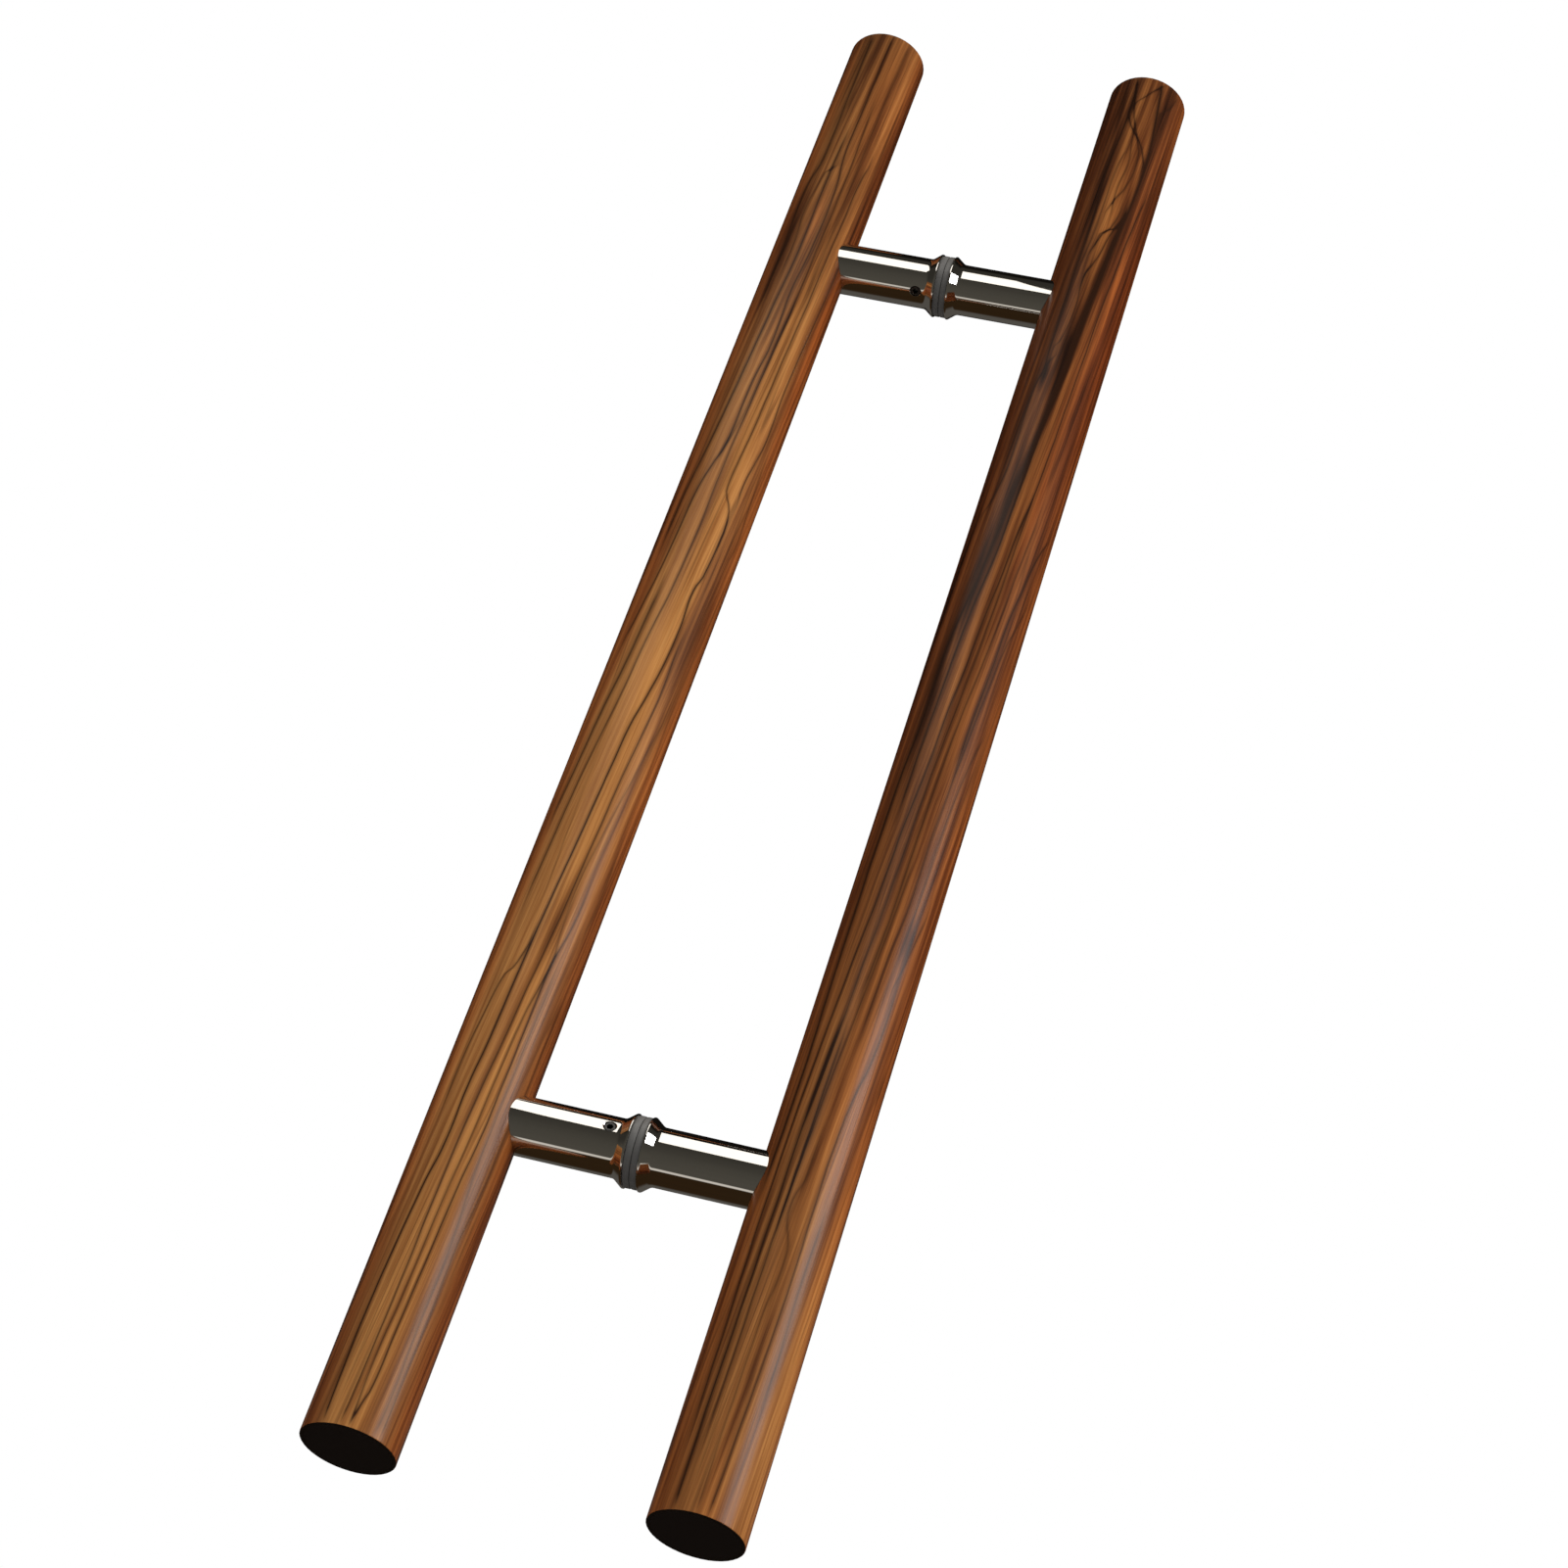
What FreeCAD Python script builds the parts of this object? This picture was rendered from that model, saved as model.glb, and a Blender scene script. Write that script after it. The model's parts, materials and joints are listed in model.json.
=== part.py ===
import FreeCAD, Part
import math
import os
import Sketcher
from FreeCAD import Placement, Rotation, Vector

# Back-to-back ladder pull handle for a door: two tubular bars, four coped and flared posts,
# soft washers for the two faces of the door, and the hardware that clamps the pair together.
# Row frame: +Z up along the bars, +X from the left bar to the right bar, +Y away from the viewer.
# The origin is the centre of the pair, in the mid plane of the door.

os.makedirs("parts", exist_ok=True)
doc = FreeCAD.newDocument("ladder_pull_handle")

# Driving dimensions, millimetres and degrees.
SIZES = {
    # bars
    "bar_diameter": 38,
    "bar_length": 800,
    "bar_wall": 1.5,
    "bar_spacing": 134,
    "bar_end_chamfer": 0.3,
    # plugs that close the bars
    "plug_fit": 0.1,
    "plug_face": 2.5,
    "plug_length": 14,
    "plug_skirt_wall": 2,
    "plug_relief": 0.5,
    "plug_ring_count": 2,
    "plug_ring_pitch": 4,
    "plug_ring_width": 1.6,
    # posts
    "post_spacing": 500,
    "post_diameter": 24,
    "saddle_clearance": 0.05,
    "collar_diameter": 30,
    "collar_rim": 0.8,
    "collar_cone_angle": 38,
    "collar_blend": 3,
    "collar_edge": 0.25,
    # soft washers
    "gasket_diameter": 29,
    "gasket_thickness": 3,
    "gasket_bevel": 0.6,
    "gasket_bore_clearance": 0.2,
    # threaded fastenings
    "stud_diameter": 8,
    "stud_socket": 4,
    "stud_socket_depth": 4,
    "stud_chamfer": 0.8,
    "stud_grip": 18,
    "thread_clearance": 0.05,
    "bottom_clearance": 2,
    "drill_angle": 118,
    # clamp nuts inside the left posts
    "nut_diameter": 16,
    "nut_length": 14,
    "nut_clearance": 0.15,
    "nut_chamfer": 0.6,
    "nut_groove_depth": 1.5,
    "nut_slot_width": 2,
    "nut_slot_depth": 2.5,
    # grub screws
    "grub_diameter": 5,
    "grub_from_collar": 9,
    "grub_recess": 0.4,
    "grub_point_gap": 0.1,
    "grub_socket": 2.5,
    "grub_socket_depth": 2.4,
    "grub_chamfer": 0.4,
    "grub_mouth": 0.35,
    "upper_grub_angle": 157,
    "lower_grub_angle": 80,
    # inserts that hold the posts to the bars
    "insert_diameter": 11,
    "insert_hole_clearance": 0.1,
    "insert_head_diameter": 13,
    "insert_head": 1,
    "insert_length": 15,
    "insert_bulge_diameter": 14,
    "insert_bulge_length": 3,
    "insert_grip": 11,
    "recess_clearance": 0.2,
    "bar_stud_grip": 12,
}

sheet = doc.addObject("Spreadsheet::Sheet", "Sizes")
for row, (alias, number) in enumerate(SIZES.items(), start=1):
    sheet.set(f"A{row}", alias)
    sheet.set(f"B{row}", str(number))
    sheet.setAlias(f"B{row}", alias)
doc.recompute()

UP = Vector(0, 0, 1)
ALONG = Vector(1, 0, 0)
ACROSS = Vector(0, 1, 0)
QUARTER_TURN = 90
HALF_TURN = 180
FULL_TURN = 360
SIDES = {"left": -1, "right": 1}
LEVELS = {"upper": 1, "lower": -1}

# How a sketch numbers its own axes, and the start, end and centre of a line or arc.
HORIZONTAL_INDEX, VERTICAL_INDEX = -1, -2
START_INDEX, END_INDEX, CENTRE_INDEX = 1, 2, 3
HEXAGON_SIDES = 6

# Lengths that several pieces share, written as expressions of the sheet.
BAR_RADIUS = "Sizes.bar_diameter / 2"
BORE_RADIUS = f"({BAR_RADIUS} - Sizes.bar_wall)"
POST_RADIUS = "Sizes.post_diameter / 2"
COLLAR_RADIUS = "Sizes.collar_diameter / 2"
CONE_ANGLE = "Sizes.collar_cone_angle * 1 deg"
POST_REACH = "(Sizes.bar_spacing / 2 - Sizes.gasket_thickness)"
STUD_RADIUS = "Sizes.stud_diameter / 2"
TAPPED_RADIUS = f"({STUD_RADIUS} + Sizes.thread_clearance)"
DRILL_CONE = f"{TAPPED_RADIUS} / tan(Sizes.drill_angle / 2 * 1 deg)"
NUT_RADIUS = "Sizes.nut_diameter / 2"
NUT_POCKET_RADIUS = f"({NUT_RADIUS} + Sizes.nut_clearance)"
NUT_POCKET_DEPTH = "(Sizes.nut_length + Sizes.bottom_clearance)"
GRUB_RADIUS = "Sizes.grub_diameter / 2"
GRUB_POINT = f"({NUT_RADIUS} - Sizes.nut_groove_depth + Sizes.grub_point_gap)"
GRUB_POINT_LENGTH = "(Sizes.nut_groove_depth - Sizes.grub_point_gap)"
GRUB_LENGTH = f"({POST_RADIUS} - Sizes.grub_recess - {GRUB_POINT})"
INSERT_TOP = f"({BAR_RADIUS} + Sizes.insert_head)"
RECESS_FLOOR = f"({POST_REACH} - {INSERT_TOP} - Sizes.recess_clearance)"
BAR_STUD_LENGTH = "(Sizes.bar_stud_grip + Sizes.recess_clearance + Sizes.insert_head + Sizes.insert_grip)"
THROUGH_STUD_LENGTH = (
    "(Sizes.stud_grip + 2 * Sizes.gasket_thickness + Sizes.nut_length - Sizes.nut_slot_depth)"
)


def size(name):
    return float(sheet.get(name))


def new_body(label):
    body = doc.addObject("PartDesign::Body", label)
    body.Label = label
    return body


def place(body, turn_axis=UP, turn=0, **position):
    """Turn the piece about one axis, and bind its position to the sheet."""
    body.Placement = Placement(Vector(), Rotation(turn_axis, turn))
    for axis, expression in position.items():
        body.setExpression(f"Placement.Base.{axis}", expression)


def new_sketch(body, plane_role, name):
    sketch = body.newObject("Sketcher::SketchObject", f"{body.Label}_{name}")
    plane = [item for item in body.Origin.OriginFeatures if item.Role == plane_role]
    sketch.AttachmentSupport = [(plane[0], "")]
    sketch.MapMode = "FlatFace"
    return sketch


def drive(sketch, expression, drawn, *constraint):
    """Add a dimension that the sheet drives; it starts at the measure that the sketch was drawn with."""
    index = sketch.addConstraint(Sketcher.Constraint(*constraint, drawn))
    sketch.setExpression(f"Constraints[{index}]", expression)


def fix_point(sketch, geometry, point, across, up):
    """Fix a sketch point by two expressions; None puts it on the axis."""
    drawn = sketch.getPoint(geometry, point)
    for kind, expression, distance, axis in (("DistanceX", across, drawn.x, VERTICAL_INDEX),
                                             ("DistanceY", up, drawn.y, HORIZONTAL_INDEX)):
        if expression is None:
            sketch.addConstraint(Sketcher.Constraint("PointOnObject", geometry, point, axis))
        else:
            drive(sketch, expression, distance, kind, HORIZONTAL_INDEX, START_INDEX, geometry, point)


def ring_of_points(count):
    turns = [math.tau * step / count for step in range(count)]
    return [Vector(math.cos(turn), math.sin(turn), 0) for turn in turns]


def closed_lines(sketch, points):
    """Line segments from point to point and back to the first, joined at their ends."""
    following = points[1:] + points[:1]
    lines = [sketch.addGeometry(Part.LineSegment(start, end), False) for start, end in zip(points, following)]
    for line, next_line in zip(lines, lines[1:] + lines[:1]):
        sketch.addConstraint(Sketcher.Constraint("Coincident", line, END_INDEX, next_line, START_INDEX))
    return lines


def outline(sketch, corners):
    """Closed polygon through corners given as pairs of expressions."""
    for line, (across, up) in zip(closed_lines(sketch, ring_of_points(len(corners))), corners):
        fix_point(sketch, line, START_INDEX, across, up)


def circle(sketch, radius, across=None, up=None, construction=False):
    unit_circle = Part.Circle(Vector(0 if across is None else 1, 0 if up is None else 1, 0), UP, 1)
    ring = sketch.addGeometry(unit_circle, construction)
    fix_point(sketch, ring, CENTRE_INDEX, across, up)
    drive(sketch, radius, unit_circle.Radius, "Radius", ring)
    return ring


def hexagon(sketch, across_flats):
    hub = circle(sketch, f"{across_flats} / sqrt(3)", construction=True)
    flats = closed_lines(sketch, ring_of_points(HEXAGON_SIDES))
    for flat in flats:
        sketch.addConstraint(Sketcher.Constraint("PointOnObject", flat, START_INDEX, hub))
    for flat in flats[1:]:
        sketch.addConstraint(Sketcher.Constraint("Equal", flats[0], flat))
    sketch.addConstraint(Sketcher.Constraint("PointOnObject", flats[0], START_INDEX, HORIZONTAL_INDEX))


def add_feature(body, kind, name, sketch, settings, expressions):
    """Add a sketch-based feature and make sure that it adds or removes material as it should."""
    before = body.Shape.Volume if body.Tip else 0
    result = body.newObject(f"PartDesign::{kind}", f"{body.Label}_{name}")
    result.Profile = sketch
    sketch.Visibility = False
    for prop, setting in settings.items():
        setattr(result, prop, setting)
    for prop, expression in expressions.items():
        result.setExpression(prop, expression)
    doc.recompute()
    change = result.Shape.Volume - before
    removes = kind in ("Pocket", "Groove")
    if change == 0 or (change < 0) != removes:
        raise RuntimeError(f"{result.Label} changes the volume by {change}")
    body.Tip = result


def pad(body, name, sketch, length, symmetric=False):
    settings = {"SideType": "Symmetric" if symmetric else "One side"}
    add_feature(body, "Pad", name, sketch, settings, {"Length": length})


def pocket(body, name, sketch, length, symmetric=False, forward=False):
    """Cut a sketch through; forward cuts along the sketch's own normal."""
    settings = {"SideType": "Symmetric" if symmetric else "One side", "Reversed": forward}
    add_feature(body, "Pocket", name, sketch, settings, {"Length": length})


def revolve(body, name, sketch, axis, kind="Revolution"):
    add_feature(body, kind, name, sketch, {"ReferenceAxis": (sketch, [axis]), "Angle": FULL_TURN}, {})


def edges_where(shape, wanted):
    return [f"Edge{index}" for index, edge in enumerate(shape.Edges, start=1) if wanted(edge)]


def is_ring(edge, radius, axis, position):
    """True for a full circle of that radius at that place along the axis."""
    near = 1e-4
    if not isinstance(edge.Curve, Part.Circle) or abs(edge.Curve.Radius - radius) > near:
        return False
    return abs(edge.Curve.Center.dot(axis) - position) < near


def chamfer(body, name, amount, wanted):
    """Bevel the edges that the test picks."""
    base = body.Tip
    names = edges_where(base.Shape, wanted)
    if not names:
        raise RuntimeError(f"{body.Label}_{name} finds no edge")
    result = body.newObject("PartDesign::Chamfer", f"{body.Label}_{name}")
    result.Base = (base, names)
    result.setExpression("Size", amount)
    doc.recompute()
    body.Tip = result


def make_bar(side):
    """Tube along Z. Its two insert holes face the door, which is local +X."""
    body = new_body(f"{side}_bar")
    section = new_sketch(body, "XY_Plane", "section")
    circle(section, BAR_RADIUS)
    circle(section, BORE_RADIUS)
    pad(body, "tube", section, "Sizes.bar_length", symmetric=True)
    holes = new_sketch(body, "YZ_Plane", "insert_holes")
    for sign in LEVELS.values():
        circle(holes, "Sizes.insert_diameter / 2 + Sizes.insert_hole_clearance",
               up=f"{sign} * Sizes.post_spacing / 2")
    pocket(body, "insert_bores", holes, "Sizes.bar_diameter", forward=True)
    radius, half_length = size("bar_diameter") / 2, size("bar_length") / 2
    chamfer(body, "end_chamfers", "Sizes.bar_end_chamfer",
            lambda edge: any(is_ring(edge, radius, UP, end) for end in (-half_length, half_length)))
    place(body, turn=HALF_TURN if side == "right" else 0, x=f"{SIDES[side]} * Sizes.bar_spacing / 2")
    return body


def make_plug(side, end):
    """Flush push-in plug: a face, a hollow skirt and gripping rings. Local +Z points into the tube."""
    body = new_body(f"{side}_bar_{end}_cap")
    face_radius = f"({BORE_RADIUS} - Sizes.plug_fit)"
    skirt_radius = f"({face_radius} - Sizes.plug_relief)"
    hollow_radius = f"({skirt_radius} - Sizes.plug_skirt_wall)"
    corners = [(None, None), (face_radius, None), (face_radius, "Sizes.plug_face"),
               (skirt_radius, "Sizes.plug_face")]
    for ring in range(int(size("plug_ring_count"))):
        crest = f"Sizes.plug_face + {ring + 1} * Sizes.plug_ring_pitch"
        corners += [(skirt_radius, f"{crest} - Sizes.plug_ring_width / 2"),
                    (face_radius, crest),
                    (skirt_radius, f"{crest} + Sizes.plug_ring_width / 2")]
    corners += [(skirt_radius, "Sizes.plug_length"), (hollow_radius, "Sizes.plug_length"),
                (hollow_radius, "Sizes.plug_face"), (None, "Sizes.plug_face")]
    section = new_sketch(body, "XZ_Plane", "section")
    outline(section, corners)
    revolve(body, "plug", section, "V_Axis")
    top = end == "top"
    place(body, ALONG, HALF_TURN if top else 0, x=f"{SIDES[side]} * Sizes.bar_spacing / 2",
          z=f"{1 if top else -1} * Sizes.bar_length / 2")
    return body


def blind_hole(depth):
    """Profile of a tapped blind hole with a drill point, from the face at zero."""
    return [(None, None), (None, TAPPED_RADIUS), (depth, TAPPED_RADIUS), (f"{depth} + {DRILL_CONE}", None)]


def turned_profile(sketch):
    """Half section of a post: bevelled collar rim, cone, hollow blend into the shaft, and the shaft itself."""
    rim, blend, bevel = size("collar_rim"), size("collar_blend"), size("collar_edge")
    collar_radius, shaft_radius = size("collar_diameter") / 2, size("post_diameter") / 2
    slope = math.radians(size("collar_cone_angle"))
    corner = rim + (collar_radius - shaft_radius) / math.tan(slope)
    tangent = blend * math.tan(slope / 2)
    reach = size("bar_spacing") / 2 - size("gasket_thickness")
    before_blend = [
        Vector(),
        Vector(0, collar_radius - bevel, 0),
        Vector(bevel, collar_radius, 0),
        Vector(rim - bevel, collar_radius, 0),
        Vector(rim + bevel * math.cos(slope), collar_radius - bevel * math.sin(slope), 0),
        Vector(corner - tangent * math.cos(slope), shaft_radius + tangent * math.sin(slope), 0),
    ]
    after_blend = [
        Vector(corner + tangent, shaft_radius, 0),
        Vector(reach, shaft_radius, 0),
        Vector(reach, 0, 0),
        Vector(),
    ]
    lines = [sketch.addGeometry(Part.LineSegment(start, end), False)
             for run in (before_blend, after_blend) for start, end in zip(run, run[1:])]
    face, door_bevel, edge, rim_bevel, cone, shaft, *_, middle = lines
    bend = Part.Circle(Vector(corner + tangent, shaft_radius + blend, 0), UP, blend)
    bottom = -math.pi / 2
    arc = sketch.addGeometry(Part.ArcOfCircle(bend, bottom - slope, bottom), False)
    for line, next_line in zip(lines, lines[1:] + lines[:1]):
        if line != cone:
            sketch.addConstraint(Sketcher.Constraint("Coincident", line, END_INDEX, next_line, START_INDEX))
    sketch.addConstraint(Sketcher.Constraint("Tangent", cone, END_INDEX, arc, START_INDEX))
    sketch.addConstraint(Sketcher.Constraint("Tangent", arc, END_INDEX, shaft, START_INDEX))
    sketch.addConstraint(Sketcher.Constraint("Horizontal", shaft))
    fix_point(sketch, face, START_INDEX, None, None)
    fix_point(sketch, door_bevel, START_INDEX, None, f"{COLLAR_RADIUS} - Sizes.collar_edge")
    fix_point(sketch, edge, START_INDEX, "Sizes.collar_edge", COLLAR_RADIUS)
    fix_point(sketch, rim_bevel, START_INDEX, "Sizes.collar_rim - Sizes.collar_edge", COLLAR_RADIUS)
    fix_point(sketch, cone, START_INDEX, f"Sizes.collar_rim + Sizes.collar_edge * cos({CONE_ANGLE})",
              f"{COLLAR_RADIUS} - Sizes.collar_edge * sin({CONE_ANGLE})")
    fix_point(sketch, shaft, END_INDEX, POST_REACH, POST_RADIUS)
    fix_point(sketch, middle, START_INDEX, POST_REACH, None)
    drive(sketch, "Sizes.collar_blend", blend, "Radius", arc)
    drive(sketch, f"-{CONE_ANGLE}", -slope, "Angle", cone)


def make_post(side, level):
    """Turned post along local X, from its collar at the door to the saddle that fits the bar."""
    body = new_body(f"{level}_{side}_post")
    blank = new_sketch(body, "XZ_Plane", "blank")
    turned_profile(blank)
    revolve(body, "turned", blank, "H_Axis")

    saddle = new_sketch(body, "XY_Plane", "saddle")
    circle(saddle, f"{BAR_RADIUS} + Sizes.saddle_clearance", across=POST_REACH)
    pocket(body, "coped_end", saddle, "2 * Sizes.post_diameter", symmetric=True)

    seat = new_sketch(body, "XZ_Plane", "bar_side_bore")
    recess_radius = "Sizes.insert_head_diameter / 2 + Sizes.recess_clearance"
    bore_floor = f"({RECESS_FLOOR} - Sizes.bar_stud_grip - Sizes.bottom_clearance)"
    outline(seat, [(f"{bore_floor} - {DRILL_CONE}", None), (bore_floor, TAPPED_RADIUS),
                   (RECESS_FLOOR, TAPPED_RADIUS), (RECESS_FLOOR, recess_radius),
                   (POST_REACH, recess_radius), (POST_REACH, None)])
    revolve(body, "bar_side_bores", seat, "H_Axis", "Groove")

    door_bore = new_sketch(body, "XZ_Plane", "door_side_bore")
    if side == "right":
        outline(door_bore, blind_hole("Sizes.stud_grip + Sizes.bottom_clearance"))
        revolve(body, "door_side_thread", door_bore, "H_Axis", "Groove")
    else:
        outline(door_bore, [(None, None), (None, NUT_POCKET_RADIUS), (NUT_POCKET_DEPTH, NUT_POCKET_RADIUS),
                            (NUT_POCKET_DEPTH, None)])
        revolve(body, "nut_pocket", door_bore, "H_Axis", "Groove")
        grub = new_sketch(body, "XY_Plane", "grub_hole")
        grub.AttachmentOffset = Placement(Vector(), Rotation(ALONG, 1))
        grub.setExpression("AttachmentOffset.Rotation.Angle", f"-Sizes.{level}_grub_angle * 1 deg")
        circle(grub, f"{GRUB_RADIUS} + Sizes.thread_clearance", across="Sizes.grub_from_collar")
        pocket(body, "grub_thread", grub, "Sizes.collar_diameter", forward=True)
        chamfer(body, "grub_mouth", "Sizes.grub_mouth", is_grub_mouth)
    place(body, turn=HALF_TURN if side == "left" else 0, x=f"{SIDES[side]} * Sizes.gasket_thickness",
          z=f"{LEVELS[level]} * Sizes.post_spacing / 2")
    return body


def is_grub_mouth(edge):
    """True for the edge where the grub screw's hole leaves the post's outside."""
    near, sample_count = 1e-3, 5
    if edge.Degenerated:
        return False
    post_radius, centre = size("post_diameter") / 2, size("grub_from_collar")
    hole_radius = size("grub_diameter") / 2 + size("thread_clearance")
    samples = edge.discretize(sample_count)
    lies_outside = all(abs(math.hypot(point.y, point.z) - post_radius) < near for point in samples)
    return lies_outside and all(abs(point.x - centre) < hole_radius + near for point in samples)


def make_gasket(side, level):
    """Soft washer between a post and the face of the door."""
    body = new_body(f"{level}_{side}_gasket")
    section = new_sketch(body, "YZ_Plane", "section")
    circle(section, "Sizes.gasket_diameter / 2")
    circle(section, f"{STUD_RADIUS} + Sizes.gasket_bore_clearance")
    pad(body, "washer", section, "Sizes.gasket_thickness")
    radius, thickness = size("gasket_diameter") / 2, size("gasket_thickness")
    chamfer(body, "bevelled_edges", "Sizes.gasket_bevel",
            lambda edge: any(is_ring(edge, radius, ALONG, face) for face in (0, thickness)))
    place(body, turn=HALF_TURN if side == "left" else 0, z=f"{LEVELS[level]} * Sizes.post_spacing / 2")
    return body


def socket_screw(label, radius, length, chamfer, socket, socket_depth, point=None):
    """Headless screw along local Z, with a hexagon socket in its far end; point makes that tip a cone."""
    body = new_body(label)
    section = new_sketch(body, "XZ_Plane", "section")
    if point:
        tip = [(None, None), (radius, point)]
    else:
        tip = [(None, None), (f"{radius} - {chamfer}", None), (radius, chamfer)]
    outline(section, tip + [(radius, f"{length} - {chamfer}"), (f"{radius} - {chamfer}", length),
                            (None, length)])
    revolve(body, "shank", section, "V_Axis")
    recess = new_sketch(body, "XY_Plane", "socket")
    recess.setExpression("AttachmentOffset.Base.z", length)
    hexagon(recess, socket)
    pocket(body, "hex_socket", recess, socket_depth)
    return body


def make_through_stud(level):
    """Stud from the right post, through the door, into the clamp nut. Local +Z points to the left."""
    body = socket_screw(f"{level}_through_stud", STUD_RADIUS, THROUGH_STUD_LENGTH, "Sizes.stud_chamfer",
                        "Sizes.stud_socket", "Sizes.stud_socket_depth")
    place(body, ACROSS, -QUARTER_TURN, x="Sizes.gasket_thickness + Sizes.stud_grip",
          z=f"{LEVELS[level]} * Sizes.post_spacing / 2")
    return body


def make_bar_stud(side, level):
    """Stud from a post into the insert in its bar. Local +Z points away from the bar."""
    body = socket_screw(f"{level}_{side}_bar_stud", STUD_RADIUS, BAR_STUD_LENGTH, "Sizes.stud_chamfer",
                        "Sizes.stud_socket", "Sizes.stud_socket_depth")
    sign = SIDES[side]
    far_end = f"(Sizes.bar_spacing / 2 - {BAR_RADIUS} + Sizes.insert_grip)"
    place(body, ACROSS, -sign * QUARTER_TURN, x=f"{sign} * {far_end}",
          z=f"{LEVELS[level]} * Sizes.post_spacing / 2")
    return body


def make_clamp_nut(level):
    """Round slotted nut with a V groove for the grub screw, along local X from the gasket."""
    body = new_body(f"{level}_clamp_nut")
    blank = new_sketch(body, "XZ_Plane", "blank")
    outline(blank, [(None, TAPPED_RADIUS), (None, NUT_RADIUS),
                    ("Sizes.nut_length - Sizes.nut_chamfer", NUT_RADIUS),
                    ("Sizes.nut_length", f"{NUT_RADIUS} - Sizes.nut_chamfer"),
                    ("Sizes.nut_length", TAPPED_RADIUS)])
    revolve(body, "turned", blank, "H_Axis")
    groove = new_sketch(body, "XZ_Plane", "groove")
    half_width = f"({GRUB_RADIUS} + Sizes.thread_clearance)"
    outline(groove, [(f"Sizes.grub_from_collar - {half_width}", NUT_RADIUS),
                     (f"Sizes.grub_from_collar + {half_width}", NUT_RADIUS),
                     ("Sizes.grub_from_collar", f"{NUT_RADIUS} - Sizes.nut_groove_depth")])
    revolve(body, "v_groove", groove, "H_Axis", "Groove")
    slot = new_sketch(body, "XY_Plane", "slot")
    floor, half_slot = "Sizes.nut_length - Sizes.nut_slot_depth", "Sizes.nut_slot_width / 2"
    outline(slot, [(floor, f"-{half_slot}"), ("Sizes.nut_length", f"-{half_slot}"),
                   ("Sizes.nut_length", half_slot), (floor, half_slot)])
    pocket(body, "driver_slot", slot, "2 * Sizes.nut_diameter", symmetric=True)
    place(body, turn=HALF_TURN, x="-Sizes.gasket_thickness", z=f"{LEVELS[level]} * Sizes.post_spacing / 2")
    return body


def make_grub_screw(level):
    """Pointed set screw that runs outward from the clamp nut's groove to the outside of the left post."""
    body = socket_screw(f"{level}_grub_screw", GRUB_RADIUS, GRUB_LENGTH, "Sizes.grub_chamfer",
                        "Sizes.grub_socket", "Sizes.grub_socket_depth", point=GRUB_POINT_LENGTH)
    place(body, ALONG, 1, x="-Sizes.gasket_thickness - Sizes.grub_from_collar",
          y=f"-{GRUB_POINT} * sin(Sizes.{level}_grub_angle * 1 deg)",
          z=f"{LEVELS[level]} * Sizes.post_spacing / 2 + {GRUB_POINT} * cos(Sizes.{level}_grub_angle * 1 deg)")
    body.setExpression("Placement.Rotation.Angle", f"Sizes.{level}_grub_angle * 1 deg")
    return body


def make_insert(side, level):
    """Blind threaded insert set in the bar's wall. Local X runs from the bar's axis to the post."""
    body = new_body(f"{level}_{side}_bar_insert")
    shank_radius = "Sizes.insert_diameter / 2"
    bulge_radius = "Sizes.insert_bulge_diameter / 2"
    bulge_top = f"sqrt({BORE_RADIUS} ^ 2 - ({bulge_radius}) ^ 2) - Sizes.saddle_clearance"
    section = new_sketch(body, "XZ_Plane", "section")
    outline(section, [(f"{BAR_RADIUS} - Sizes.insert_length", TAPPED_RADIUS),
                      (f"{BAR_RADIUS} - Sizes.insert_length", shank_radius),
                      (f"{bulge_top} - Sizes.insert_bulge_length", shank_radius),
                      (f"{bulge_top} - Sizes.insert_bulge_length", bulge_radius),
                      (bulge_top, bulge_radius), (bulge_top, shank_radius),
                      (BAR_RADIUS, shank_radius), (BAR_RADIUS, "Sizes.insert_head_diameter / 2"),
                      (INSERT_TOP, "Sizes.insert_head_diameter / 2"), (INSERT_TOP, TAPPED_RADIUS)])
    revolve(body, "insert", section, "H_Axis")
    place(body, turn=HALF_TURN if side == "right" else 0, x=f"{SIDES[side]} * Sizes.bar_spacing / 2",
          z=f"{LEVELS[level]} * Sizes.post_spacing / 2")
    return body


pieces = []
for side in SIDES:
    pieces.append(make_bar(side))
    pieces += [make_plug(side, end) for end in ("top", "bottom")]
    for level in LEVELS:
        pieces += [make_post(side, level), make_gasket(side, level)]
        pieces += [make_bar_stud(side, level), make_insert(side, level)]
for level in LEVELS:
    pieces += [make_through_stud(level), make_clamp_nut(level), make_grub_screw(level)]
doc.recompute()

for item in doc.Objects:
    if "Invalid" in item.State or "Error" in item.State:
        raise RuntimeError(f"{item.Label} failed: {item.State}")
    if item.TypeId == "Sketcher::SketchObject" and not item.FullyConstrained:
        raise RuntimeError(f"{item.Label} is left free to move")
for piece in pieces:
    if piece.Shape.isNull() or not piece.Shape.isValid() or len(piece.Shape.Solids) != 1:
        raise RuntimeError(f"{piece.Label} is not one valid solid")
for piece in pieces:
    piece.Shape.exportStep(f"parts/{piece.Label}.step")
print(f"{len(pieces)} pieces written")
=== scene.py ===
import json
import math
import bmesh
import bpy
from mathutils import Matrix, Vector


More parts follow.
